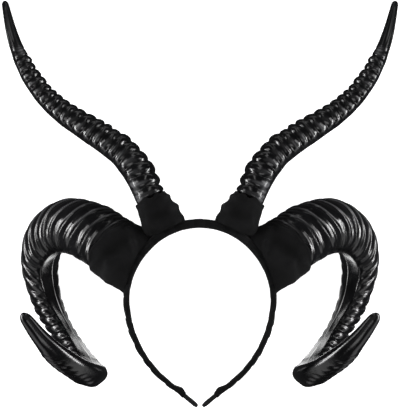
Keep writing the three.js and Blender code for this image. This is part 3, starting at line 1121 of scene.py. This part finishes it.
def sleeve_object(name, horn, side, folds, settings, rng):
    """A cloth sleeve: the horn's root swollen by the cloth's stand and the wall, as a closed wall.

    The outer face runs from the band to the edge on the horn and the inner face runs back, joined
    by round hems. The cloth reaches along the band towards the neighbouring sleeve by a hump of
    s (1 - s)^3 of the share s of its length, and its edge is uneven and dips by a bell curve of the
    turn.
    """
    line = CentreLine(horn)
    rows, columns = SLEEVE_GRID
    turns = round_turns(columns)
    turn = turns[:-1]
    outer = np.linspace(0, 1, rows)
    inner = np.linspace(1, 0, SLEEVE_INNER_ROWS)
    share = np.concatenate([outer, [EDGE_ROUND], inner, [FOOT_ROUND]])
    level = np.concatenate([np.ones(rows), [0.5], np.zeros(len(inner)), [0.5]])[:, None]
    held = np.clip(share, 0, 1)[:, None]
    stand, pale = sleeve_stand(horn, line, held, turn, folds, rng)
    swell = stand + level * (settings.wall / MM + HEM * smooth_step(*HEM_PLACE, held))
    points = horn_points(horn, line, share * line.edge, turn, swell, lap=SLEEVE_LAP, deep=SLEEVE_DEEP)
    _, outward = band_at(np.array(WEB_RUN))
    towards = horn.crest_side * np.array([-outward[2], 0.0, outward[0]])
    facing = np.maximum(0, horn.crest_side * np.cos(turn))[None, :] ** 2
    reach = horn.web * (HUMP_SCALE * held * (1 - held) ** 3) * facing
    far, pitch = FRAY
    fray = far * ripple(rng, 0 * held, 2 * turn[None, :], pitch) - horn.dip * bell(turn, *DIP_TURNS)
    fray = fray * smooth_step(*FRAY_FROM, held)
    _, tangent = line.at(share * line.edge)
    points = points + towards * reach[..., None] + tangent[:, None, :] * (fray * line.edge)[..., None]
    gone = np.concatenate([share, share[:1]])[:, None] * line.edge
    along = np.repeat(gone, columns + 1, 1)
    around = np.repeat(turns[None, :] * (horn.rows[0][ACROSS] / 2), len(along), 0)
    return grid_object(name, mirrored(points, side), along, around, True, pale)


def wrap_object(name, settings):
    """The ribbon wound round the hoop: a strip whose relief is a saw tooth of the number of turns, which
    grows along the run and falls by one round the section, so that each turn laps over the last. The
    laps lie flatter over the crown and end before the ribbon's ends."""
    rows, columns = WRAP_GRID
    end = WRAP_ROWS[-1, 0] * HALF_RUN
    out_run = np.linspace(-end, end, rows)
    back_run = np.linspace(end, -end, WRAP_INNER_ROWS)
    turns = round_turns(columns)
    turn = turns[:-1]
    outer, inner, edge = (x[:, None] for x in look_up(WRAP_ROWS, np.abs(out_run) / HALF_RUN).T)
    drift, rate = RIBBON_DRIFT
    wave, lobes = RIBBON_WAVE
    count = out_run[:, None] / (settings.ribbon_pitch / MM) - turn[None, :] / (2 * np.pi)
    count = count + drift * np.sin(rate * out_run)[:, None] + wave * np.sin(lobes * turn)[None, :]
    u = count - np.floor(count)
    tooth = np.minimum(u / (1 - LAP_FALL), (1 - u) / LAP_FALL)
    gone = np.abs(out_run)[:, None] / HALF_RUN
    loose = CROWN_LAP + (1 - CROWN_LAP) * smooth_step(*LOOSE_FROM, gone)
    loose = loose * (1 - smooth_step(*LOOSE_TO, gone))
    lapped = settings.ribbon_step / MM * loose * (tooth + LAP_SWELL * np.sin(np.pi * u))
    height, pitch = RIBBON_DENTS
    rng = np.random.default_rng(RIBBON_SEED)
    lapped = lapped + height * ripple(rng, out_run[:, None], turn[None, :], pitch)
    cover = strip_points(
        out_run, turn, outer + lapped, inner + INNER_LAP * lapped, edge + lapped, RIBBON_POWER
    )
    hoop = look_up(HOOP_ROWS, np.abs(back_run) / HALF_RUN).T
    thick, wide = (x[:, None] / 2 + LINING_GAP for x in hoop)
    lining = strip_points(back_run, turn, thick, thick, wide, RIBBON_POWER)
    # Painted shade at the foot of each lap's step, and painted light towards the lap's raised edge
    first, gained = RIBBON_PAINTED_LIGHT
    inside = np.full((WRAP_INNER_ROWS, columns), LINING_PAINTED_LEVEL)
    pale = np.concatenate([np.clip(first + gained * u, 0, 1), inside])
    run = np.concatenate([out_run, back_run, out_run[:1]])
    along = np.repeat(run[:, None], columns + 1, 1)
    around = np.repeat(turns[None, :] * RIBBON_GIRTH, len(run), 0)
    return grid_object(name, np.concatenate([cover, lining]), along, around, True, pale)


def hoop_object(name):
    """The plastic hoop: a strip of rounded section that swells at its bare tips and closes there. Its
    rows crowd towards the tips by a power of the way that is left."""
    rows, columns = HOOP_GRID
    turns = round_turns(columns)
    bend = np.linspace(-1, 1, rows)
    share = np.sign(bend) * (1 - (1 - np.abs(bend)) ** TIP_CROWDING)
    run = share * HALF_RUN
    thick, wide = (x[:, None] / 2 for x in look_up(HOOP_ROWS, np.abs(share)).T)
    points = strip_points(run, turns[:-1], thick, thick, wide, HOOP_POWER)
    along = np.repeat(run[:, None], columns + 1, 1)
    around = np.repeat(turns[None, :] * HOOP_GIRTH, rows, 0)
    return grid_object(name, points, along, around, False)


# Materials


def set_inputs(tree, node, inputs):
    """Fills a node's inputs, by name or number, with constants or with other nodes' outputs."""
    for key, value in inputs.items():
        if isinstance(value, bpy.types.NodeSocket):
            tree.links.new(value, node.inputs[key])
        else:
            node.inputs[key].default_value = value


def add_node(tree, kind, inputs=None, **settings):
    """A shader node with its settings and inputs."""
    node = tree.nodes.new(kind)
    for key, value in settings.items():
        setattr(node, key, value)
    set_inputs(tree, node, inputs or {})
    return node


def tone(colour, share=1.0):
    """A colour times a share, as the four values of a socket."""
    return (*(share * x for x in colour), 1.0)


def toned(tree, mask, colour, shares):
    """A colour that goes with a mask from its darker to its lighter share."""
    return mixed(tree, mask, *(tone(colour, share) for share in shares))


def mixed(tree, factor, first, second, blend_type="MIX"):
    """A colour between two colours or outputs, by a factor."""
    inputs = {"Factor": factor, "A": first, "B": second}
    mix = add_node(tree, "ShaderNodeMix", inputs, data_type="RGBA", blend_type=blend_type)
    return mix.outputs["Result"]


def value_between(tree, mask, low, high):
    """A value that goes from low to high with a mask from 0 to 1."""
    inputs = {"Value": mask, "To Min": low, "To Max": high}
    return add_node(tree, "ShaderNodeMapRange", inputs).outputs["Result"]


def calculated(tree, operation, *values):
    """The result of a Math node on numbers or outputs."""
    return add_node(tree, "ShaderNodeMath", dict(enumerate(values)), operation=operation).outputs[0]


def new_material(name):
    """An empty material with its shader tree, its Principled shader and its output."""
    material = bpy.data.materials.new(name)
    material.use_nodes = True
    tree = material.node_tree
    tree.nodes.clear()
    shader = add_node(tree, "ShaderNodeBsdfPrincipled")
    add_node(tree, "ShaderNodeOutputMaterial", {"Surface": shader.outputs["BSDF"]})
    return material, tree, shader


def new_group(name, inputs, outputs):
    """An empty node group with named sockets: its tree, its input node's outputs and its output node."""
    tree = bpy.data.node_groups.new(name, "ShaderNodeTree")
    for key, kind in inputs.items():
        tree.interface.new_socket(key, in_out="INPUT", socket_type=kind)
    for key, kind in outputs.items():
        tree.interface.new_socket(key, in_out="OUTPUT", socket_type=kind)
    source = add_node(tree, "NodeGroupInput").outputs
    return tree, source, add_node(tree, "NodeGroupOutput")


def mottle_group(name):
    """Shared unevenness: two sizes of noise, put out as a soft mask and as a fine height."""
    number = "NodeSocketFloat"
    tree, source, result = new_group(
        name,
        {"Vector": "NodeSocketVector", "Broad": number, "Fine": number},
        {"Mask": number, "Height": number},
    )
    broad, fine = (
        add_node(
            tree,
            "ShaderNodeTexNoise",
            {"Vector": source["Vector"], "Scale": source[scale], "Detail": detail, "Roughness": rough},
        )
        for scale, detail, rough in (("Broad", 4.0, 0.55), ("Fine", 3.0, 0.6))
    )
    spread = {"Value": broad.outputs["Fac"], "From Min": 0.35, "From Max": 0.65}
    mask = add_node(tree, "ShaderNodeMapRange", spread)
    set_inputs(tree, result, {"Mask": mask.outputs["Result"], "Height": fine.outputs["Fac"]})
    return tree


def thread_height(tree, across):
    """A rounded thread's height: the size of a sine across it."""
    wave = calculated(tree, "SINE", calculated(tree, "MULTIPLY", across, np.pi))
    return calculated(tree, "ABSOLUTE", wave)


def weave_group(name):
    """Plain weave on the surface's own coordinates: rounded threads that pass over and under in turn. A
    chequer picks which one lies on top."""
    number = "NodeSocketFloat"
    tree, source, result = new_group(
        name, {"Vector": "NodeSocketVector", "Threads per mm": number}, {"Height": number}
    )
    counted = {"Vector": source["Vector"], "Scale": source["Threads per mm"]}
    threads = add_node(tree, "ShaderNodeVectorMath", counted, operation="SCALE").outputs["Vector"]
    parts = add_node(tree, "ShaderNodeSeparateXYZ", {"Vector": threads})
    warp, weft = (thread_height(tree, parts.outputs[axis]) for axis in "XY")
    chequer = add_node(tree, "ShaderNodeTexChecker", {"Vector": threads, "Scale": 1.0})
    pick = {"Factor": chequer.outputs["Fac"], "A": warp, "B": weft}
    top = add_node(tree, "ShaderNodeMix", pick, data_type="FLOAT")
    set_inputs(tree, result, {"Height": top.outputs["Result"]})
    return tree


def shared_group(tree, name, maker, inputs):
    """Outputs of a shared node group with inputs of its own, made the first time it is asked for."""
    group = bpy.data.node_groups.get(name) or maker(name)
    return add_node(tree, "ShaderNodeGroup", inputs, node_tree=group).outputs


def mottle(tree, vector, broad, fine):
    """The shared unevenness with its own two scales."""
    outputs = shared_group(tree, "mottle", mottle_group, {"Vector": vector, "Broad": broad, "Fine": fine})
    return outputs["Mask"], outputs["Height"]


def painted_light_value(tree):
    """The value that a piece's points carry: the painted highlights on a horn, and the cloth's painted
    light and shade.
    """
    return add_node(tree, "ShaderNodeAttribute", attribute_name="ridge").outputs["Fac"]


def bump_chain(tree, shader, layers):
    """Bump layers on the shader's normal: each has a height, a strength and a depth in millimetres."""
    below = {}
    for height, strength, depth in layers:
        inputs = {"Height": height, "Strength": strength, "Distance": depth * MM, **below}
        below = {"Normal": add_node(tree, "ShaderNodeBump", inputs).outputs["Normal"]}
    set_inputs(tree, shader, below)


def horn_material(name, settings, growth):
    """Glossy black skin: pale painted highlights on the rings, partly pale dry-brushed paint on the
    upright horns, mottled polish, and growth lines of a strength, which are noise drawn out round the
    horn."""
    material, tree, shader = new_material(name)
    place = add_node(tree, "ShaderNodeTexCoord").outputs
    mask, height = mottle(tree, place["Object"], broad=70.0, fine=420.0)
    drawn_out = {"Vector": place["UV"], "Scale": (1.1, 0.09, 1.0)}
    stretch = add_node(tree, "ShaderNodeMapping", drawn_out).outputs["Vector"]
    noise = {"Vector": stretch, "Scale": 1.0, "Detail": 3.0, "Roughness": 0.6}
    lines = add_node(tree, "ShaderNodeTexNoise", noise).outputs["Fac"]
    # Painted highlights: where the points' value is high the skin is painted pale and made a little
    # rougher
    painted_highlight = painted_light_value(tree)
    skin = toned(tree, mask, settings.colour, SKIN_TONES)
    polish = value_between(tree, painted_highlight, settings.roughness, settings.roughness + HIGHLIGHT_ROUGHNESS)
    patches = calculated(tree, "MULTIPLY", mask, PATCH_ROUGHNESS)
    finish = {
        "Base Color": mixed(tree, painted_highlight, skin, tone(settings.highlight_colour)),
        "Roughness": calculated(tree, "ADD", polish, patches),
        "Specular IOR Level": 0.55,
    }
    set_inputs(tree, shader, finish)
    bump_chain(tree, shader, [(lines, growth, 0.3), (height, 0.12, 0.2)])
    return material


def cloth_material(name, colour, threads, turned):
    """Matte black cloth: a plain weave on the piece's own coordinates with painted shade between its
    threads, painted light and shade on its folds, and patches.
    """
    material, tree, shader = new_material(name)
    place = add_node(tree, "ShaderNodeTexCoord").outputs
    slant = {"Vector": place["UV"], "Rotation": (0.0, 0.0, turned)}
    lay = add_node(tree, "ShaderNodeMapping", slant).outputs["Vector"]
    woven = {"Vector": lay, "Threads per mm": threads}
    weave = shared_group(tree, "weave", weave_group, woven)["Height"]
    mask, height = mottle(tree, place["Object"], broad=45.0, fine=900.0)
    # Painted light and shade from the points' value: on the folds and wrinkles of a sleeve, on the laps
    # of the ribbon
    folds = toned(tree, painted_light_value(tree), colour, CLOTH_TONES)
    patches = mixed(tree, mask, folds, tone(WHITE, PATCH_TONE), "MULTIPLY")
    # Painted shade between the threads: the colour is darkened where the weave is low
    between = value_between(tree, weave, GAP_SHOWN, 0.0)
    finish = {
        "Base Color": mixed(tree, between, patches, tone(WHITE, GAP_SHADE), "MULTIPLY"),
        "Roughness": value_between(tree, mask, 0.86, 0.98),
        "Specular IOR Level": 0.18,
        "Sheen Weight": 0.025,
        "Sheen Roughness": 0.5,
    }
    set_inputs(tree, shader, finish)
    bump_chain(tree, shader, [(weave, 0.5, 0.2), (height, 0.3, 0.25)])
    return material


def hoop_material(name, colour):
    """Satin black moulded plastic with a fine grain."""
    material, tree, shader = new_material(name)
    place = add_node(tree, "ShaderNodeTexCoord").outputs
    mask, height = mottle(tree, place["Object"], broad=120.0, fine=1500.0)
    finish = {
        "Base Color": toned(tree, mask, colour, HOOP_TONES),
        "Roughness": value_between(tree, mask, 0.5, 0.65),
        "Specular IOR Level": 0.3,
    }
    set_inputs(tree, shader, finish)
    bump_chain(tree, shader, [(height, 0.2, 0.1)])
    return material


def floor_material(name, settings):
    """Plain pale floor with a little light of its own, as a lit table top has."""
    material, tree, shader = new_material(name)
    finish = {
        "Base Color": tone(settings.floor_colour),
        "Roughness": 0.9,
        "Specular IOR Level": 0.1,
        "Emission Color": tone(WHITE),
        "Emission Strength": settings.floor_glow,
    }
    set_inputs(tree, shader, finish)
    return material


def studio_world(settings):
    """Surroundings that look as pale as the floor and light the pieces only a little."""
    world = bpy.data.worlds.new("studio")
    world.use_nodes = True
    tree = world.node_tree
    path = add_node(tree, "ShaderNodeLightPath")
    seen = [max(settings.floor_glow, x) for x in settings.floor_colour]
    colour = mixed(tree, path.outputs["Is Camera Ray"], tone(WORLD_TONE), tone(seen))
    set_inputs(tree, tree.nodes["Background"], {"Color": colour})
    return world


def shared_material(name, maker, *values):
    """A material by name, made the first time it is asked for."""
    return bpy.data.materials.get(name) or maker(name, *values)


# Floor, lights and camera


def placement(axes, place):
    """A placement in the frame from its X, Y and Z axes and its place."""
    matrix = np.eye(4)
    matrix[:3, :3] = np.stack(axes, axis=1)
    matrix[:3, 3] = place
    return Matrix(matrix.tolist())


def soft_light(name, placed, size, power):
    """A rectangular soft box at a placement, with its width and height in metres."""
    data = bpy.data.lights.new(name, "AREA")
    data.shape = "RECTANGLE"
    data.size, data.size_y = size
    data.energy = power
    light = bpy.data.objects.new(name, data)
    light.matrix_world = placed
    bpy.context.scene.collection.objects.link(light)
    return light


def strip_light(name, strip, side, power):
    """A soft strip from one worn place to another, of a width in mm, that looks at a target as nearly as
    it can: its Y axis runs along it and its Z axis is what the way from the target has square to that."""
    places = np.array([strip.start, strip.end, strip.target])
    start, end, target = to_frame(mirrored(places, side))
    along = unit(end - start)
    middle = (start + end) / 2
    away = middle - target
    away = unit(away - along * (away @ along))
    size = (strip.width * MM, np.linalg.norm(end - start))
    return soft_light(name, placement((np.cross(along, away), along, away), middle), size, power)


def lit_panel(name, side, top, end, wide, glow):
    """A panel that lies on the floor between two ends and faces up, unseen by the camera. Its power is pi
    times its glow and its area."""
    first, last = (to_frame(np.array([side * out, 0.0, up])) for out, up in (top, end))
    way = (first - last) * [1.0, 1.0, 0.0]
    size = (wide * MM, np.linalg.norm(way))
    along, down = unit(way), np.array([0.0, 0.0, -1.0])
    middle = (first + last) / 2
    middle[2] = PANEL_HEIGHT
    placed = placement((np.cross(along, down), along, down), middle)
    panel = soft_light(name, placed, size, np.pi * glow * size[0] * size[1])
    panel.visible_camera = False
    return panel


def floor_object(settings):
    """A square floor round the origin that neither mirrors in the pieces nor lights them."""
    corners = FLOOR_REACH * np.array([(-1, -1, 0), (1, -1, 0), (1, 1, 0), (-1, 1, 0)])
    mesh = bpy.data.meshes.new("floor")
    mesh.from_pydata(corners, [], [(0, 1, 2, 3)])
    mesh.materials.append(floor_material("pale_floor", settings))
    floor = bpy.data.objects.new("floor", mesh)
    floor.visible_glossy = False
    floor.visible_diffuse = False
    bpy.context.scene.collection.objects.link(floor)
    return floor


def camera_object(settings):
    """A camera before the worn headband's face, with the headband's top up. Its lens takes in the span
    of the band's plane that the settings give."""
    data = bpy.data.cameras.new("camera")
    data.sensor_width = SENSOR_WIDTH
    data.lens = SENSOR_WIDTH * settings.camera_distance / settings.frame_span
    data.clip_end = CLIP_END
    camera = bpy.data.objects.new("camera", data)
    place = to_frame(np.array([0.0, -settings.camera_distance, settings.aim_up]) / MM)
    camera.matrix_world = placement((WORN_RIGHT, WORN_UP, -WORN_BACK), place)
    bpy.context.scene.collection.objects.link(camera)
    return camera


# Operators


class HEADBAND_OT_band(bpy.types.Operator):
    """Makes the plastic hoop and the ribbon wound round it."""

    bl_idname = "headband.band"
    bl_label = "Band"

    def execute(self, context):
        cloth = context.scene.headband_cloth
        plastic = shared_material("hoop_plastic", hoop_material, cloth.hoop_colour)
        ribbon = shared_material("ribbon_cloth", cloth_material, cloth.colour, *RIBBON_WEAVE)
        seat_piece(hoop_object("hoop"), "band_hoop", plastic)
        seat_piece(wrap_object("ribbon_wrap", cloth), "band_wrap", ribbon)
        return {"FINISHED"}


class HEADBAND_OT_horns(bpy.types.Operator):
    """Makes the two upright horns and the two curled ram horns."""

    bl_idname = "headband.horns"
    bl_label = "Horns"

    def execute(self, context):
        horns = context.scene.headband_horns
        upright_skin = shared_material("upright_skin", horn_material, horns, UPRIGHT_GROWTH)
        ram_skin = shared_material("ram_skin", horn_material, horns, RAM_GROWTH)
        for label, side in SIDES.items():
            upright = horn_object(f"upright_{label}", UPRIGHT, UPRIGHT_GRID, side, horns, upright_dents)
            ram = horn_object(f"ram_{label}", RAM, RAM_GRID, side, horns, ram_dents)
            seat_piece(upright, f"upright_horn_{label}", upright_skin)
            seat_piece(ram, f"ram_horn_{label}", ram_skin)
        return {"FINISHED"}


class HEADBAND_OT_sleeves(bpy.types.Operator):
    """Makes the four cloth sleeves that hold the horns' roots on the band."""

    bl_idname = "headband.sleeves"
    bl_label = "Sleeves"

    def execute(self, context):
        cloth = context.scene.headband_cloth
        black_cloth = shared_material("sleeve_cloth", cloth_material, cloth.colour, *SLEEVE_WEAVE)
        for kind, horn, folds, flat in (
            ("upright", UPRIGHT, UPRIGHT_FOLDS, UPRIGHT_FLAT),
            ("ram", RAM, RAM_FOLDS, RAM_FLAT),
        ):
            for label, side in SIDES.items():
                rng = np.random.default_rng(SLEEVE_SEED)
                piece = sleeve_object(f"{kind}_sleeve_cloth_{label}", horn, side, folds, cloth, rng)
                seat_piece(piece, f"{kind}_sleeve_{label}", black_cloth)
        return {"FINISHED"}


class HEADBAND_OT_stage(bpy.types.Operator):
    """Makes the pale floor, the soft lights and the camera."""

    bl_idname = "headband.stage"
    bl_label = "Stage"

    def execute(self, context):
        scene = context.scene
        stage = scene.headband_stage
        floor = floor_object(stage)
        for label, side in SIDES.items():
            for kind, strip in SIDE_STRIPS.items():
                strip_light(f"{kind}_light_{label}", strip, side, getattr(stage, f"{kind}_power"))
            for row, (top, end, wide, share) in enumerate(CURL_PANELS):
                lit_panel(f"curl_light_{label}_{row}", side, top, end, wide, share * stage.curl_glow)
        for kind, strip in MIDDLE_STRIPS.items():
            strip_light(f"{kind}_light", strip, 1.0, getattr(stage, f"{kind}_power"))
        lit_panel("back_light", 1.0, *BACK_PANEL, stage.back_glow)
        scene.world = studio_world(stage)
        scene.view_settings.view_transform = "Standard"
        scene.camera = camera_object(stage)
        return {"FINISHED"}


class HEADBAND_PT_panel(bpy.types.Panel):
    """Lists the headband's settings and the operators that make its pieces."""

    bl_idname = "HEADBAND_PT_panel"
    bl_label = "Horn Headband"
    bl_space_type = "VIEW_3D"
    bl_region_type = "UI"
    bl_category = "Headband"

    def draw(self, context):
        layout = self.layout
        for title, group, operators in (
            ("Horns", context.scene.headband_horns, (HEADBAND_OT_horns,)),
            ("Cloth", context.scene.headband_cloth, (HEADBAND_OT_band, HEADBAND_OT_sleeves)),
            ("Stage", context.scene.headband_stage, (HEADBAND_OT_stage,)),
        ):
            box = layout.box()
            box.label(text=title)
            for key in group.__annotations__:
                box.prop(group, key)
            for operator in operators:
                box.operator(operator.bl_idname)


CLASSES = (
    HornSettings,
    ClothSettings,
    StageSettings,
    HEADBAND_OT_band,
    HEADBAND_OT_horns,
    HEADBAND_OT_sleeves,
    HEADBAND_OT_stage,
    HEADBAND_PT_panel,
)


def register():
    """Registers the classes and gives each scene the headband's settings."""
    for kind in CLASSES:
        bpy.utils.register_class(kind)
    bpy.types.Scene.headband_horns = PointerProperty(type=HornSettings)
    bpy.types.Scene.headband_cloth = PointerProperty(type=ClothSettings)
    bpy.types.Scene.headband_stage = PointerProperty(type=StageSettings)


def unregister():
    """Takes the settings and the classes away again."""
    del bpy.types.Scene.headband_horns
    del bpy.types.Scene.headband_cloth
    del bpy.types.Scene.headband_stage
    for kind in reversed(CLASSES):
        bpy.utils.unregister_class(kind)


def main():
    """Builds the stage and every piece."""
    register()
    bpy.ops.headband.stage()
    bpy.ops.headband.band()
    bpy.ops.headband.horns()
    bpy.ops.headband.sleeves()


if __name__ == "__main__":
    main()
